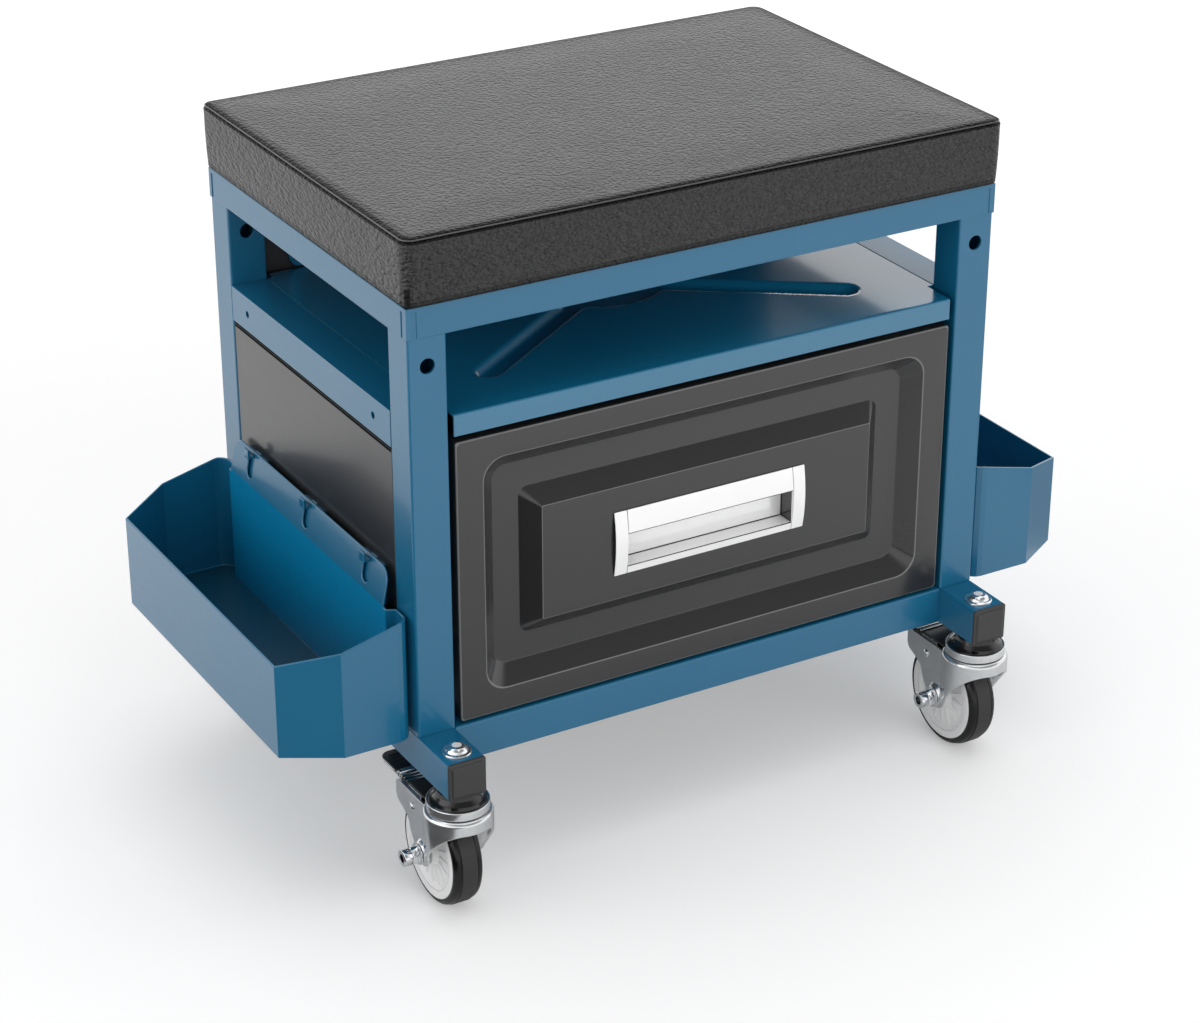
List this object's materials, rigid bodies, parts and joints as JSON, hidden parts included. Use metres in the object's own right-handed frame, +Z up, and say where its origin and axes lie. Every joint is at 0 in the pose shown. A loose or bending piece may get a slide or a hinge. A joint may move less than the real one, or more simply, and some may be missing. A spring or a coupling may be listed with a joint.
{
  "type": "creeper seat",
  "caption": "Rolling workshop seat: padded top on a square-tube frame, open shelf, pull-out drawer, hook-on side trays, and swivel casters with foot brakes at the front.",
  "frame": {"origin": "on the floor under the middle of the seat", "axes": "+Z up; the drawer opens towards -Y; +X is to the right of someone who faces the drawer"},
  "size_m": [0.504, 0.322, 0.382],
  "materials": {
    "frame_blue": "semi-gloss powder coat",
    "panel_black": "satin powder coat",
    "front_graphite": "satin powder coat",
    "plug_black": "matte",
    "cushion_cover": "grained leatherette",
    "board_wood": "plain plywood",
    "zinc": "bright zinc plate",
    "nut_chrome": "bright",
    "hub_white": "moulded nylon",
    "tyre_black": "moulded",
    "pedal_black": "black coat",
    "handle_bright": "bright"
  },
  "bodies": {
    "frame": {"front_left_post": "frame_blue", "front_right_post": "frame_blue", "rear_left_post": "frame_blue", "rear_right_post": "frame_blue", "left_skid": "frame_blue", "right_skid": "frame_blue", "front_bottom_rail": "frame_blue", "rear_bottom_rail": "frame_blue", "front_left_end_plug": "plug_black", "front_right_end_plug": "plug_black", "rear_left_end_plug": "plug_black", "rear_right_end_plug": "plug_black", "seat_pan": "frame_blue", "seat_board": "board_wood", "seat_cushion": "cushion_cover", "left_shelf_rail": "frame_blue", "right_shelf_rail": "frame_blue", "shelf": "frame_blue", "left_side_panel": "panel_black", "right_side_panel": "panel_black", "rear_panel": "panel_black", "rear_panel_frame": "frame_blue", "left_cabinet_runner": "zinc", "right_cabinet_runner": "zinc", "front_left_caster_stem": "zinc", "front_right_caster_stem": "zinc", "rear_left_caster_stem": "zinc", "rear_right_caster_stem": "zinc", "front_left_cap_nut": "nut_chrome", "front_right_cap_nut": "nut_chrome", "rear_left_cap_nut": "nut_chrome", "rear_right_cap_nut": "nut_chrome"},
    "drawer": {"drawer_front": "front_graphite", "drawer_handle": "handle_bright", "drawer_handle_left_cap": "handle_bright", "drawer_handle_right_cap": "handle_bright", "drawer_box": "panel_black", "left_drawer_runner": "zinc", "right_drawer_runner": "zinc"},
    "front_left_swivel": {"front_left_fork": "zinc", "front_left_axle": "zinc"},
    "front_left_wheel": {"front_left_hub": "hub_white", "front_left_tyre": "tyre_black"},
    "front_right_swivel": {"front_right_fork": "zinc", "front_right_axle": "zinc"},
    "front_right_wheel": {"front_right_hub": "hub_white", "front_right_tyre": "tyre_black"},
    "rear_left_swivel": {"rear_left_fork": "zinc", "rear_left_axle": "zinc"},
    "rear_left_wheel": {"rear_left_hub": "hub_white", "rear_left_tyre": "tyre_black"},
    "rear_right_swivel": {"rear_right_fork": "zinc", "rear_right_axle": "zinc"},
    "rear_right_wheel": {"rear_right_hub": "hub_white", "rear_right_tyre": "tyre_black"},
    "front_left_pedal": {"front_left_brake_pedal": "pedal_black"},
    "front_right_pedal": {"front_right_brake_pedal": "pedal_black"},
    "left_side_tray": {"left_tray": "frame_blue"},
    "right_side_tray": {"right_tray": "frame_blue"}
  },
  "joints": [
    {"name": "drawer_slide", "type": "slide", "parent": "frame", "child": "drawer", "axis": [0, -1, 0], "range_m": [0, 0.15]},
    {"name": "front_left_caster_swivel", "type": "hinge", "parent": "frame", "child": "front_left_swivel", "pos_m": [-0.169, -0.142, 0.0725], "axis": [0, 0, 1], "continuous": true},
    {"name": "front_left_wheel_spin", "type": "hinge", "parent": "front_left_swivel", "child": "front_left_wheel", "pos_m": [-0.169, -0.1235, 0.0315], "axis": [1, 0, 0], "continuous": true},
    {"name": "front_right_caster_swivel", "type": "hinge", "parent": "frame", "child": "front_right_swivel", "pos_m": [0.169, -0.142, 0.0725], "axis": [0, 0, 1], "continuous": true},
    {"name": "front_right_wheel_spin", "type": "hinge", "parent": "front_right_swivel", "child": "front_right_wheel", "pos_m": [0.169, -0.1235, 0.0315], "axis": [1, 0, 0], "continuous": true},
    {"name": "rear_left_caster_swivel", "type": "hinge", "parent": "frame", "child": "rear_left_swivel", "pos_m": [-0.169, 0.142, 0.0725], "axis": [0, 0, 1], "continuous": true},
    {"name": "rear_left_wheel_spin", "type": "hinge", "parent": "rear_left_swivel", "child": "rear_left_wheel", "pos_m": [-0.169, 0.1235, 0.0315], "axis": [1, 0, 0], "continuous": true},
    {"name": "rear_right_caster_swivel", "type": "hinge", "parent": "frame", "child": "rear_right_swivel", "pos_m": [0.169, 0.142, 0.0725], "axis": [0, 0, 1], "continuous": true},
    {"name": "rear_right_wheel_spin", "type": "hinge", "parent": "rear_right_swivel", "child": "rear_right_wheel", "pos_m": [0.169, 0.1235, 0.0315], "axis": [1, 0, 0], "continuous": true},
    {"name": "front_left_brake", "type": "hinge", "parent": "front_left_swivel", "child": "front_left_pedal", "pos_m": [-0.169, -0.1122, 0.0541], "axis": [-1, 0, 0], "range_deg": [0, 8.5]},
    {"name": "front_right_brake", "type": "hinge", "parent": "front_right_swivel", "child": "front_right_pedal", "pos_m": [0.169, -0.1122, 0.0541], "axis": [-1, 0, 0], "range_deg": [0, 8.5]},
    {"name": "left_tray_lift", "type": "slide", "parent": "frame", "child": "left_side_tray", "axis": [0, 0, 1], "range_m": [0, 0.01]},
    {"name": "right_tray_lift", "type": "slide", "parent": "frame", "child": "right_side_tray", "axis": [0, 0, 1], "range_m": [0, 0.01]}
  ]
}
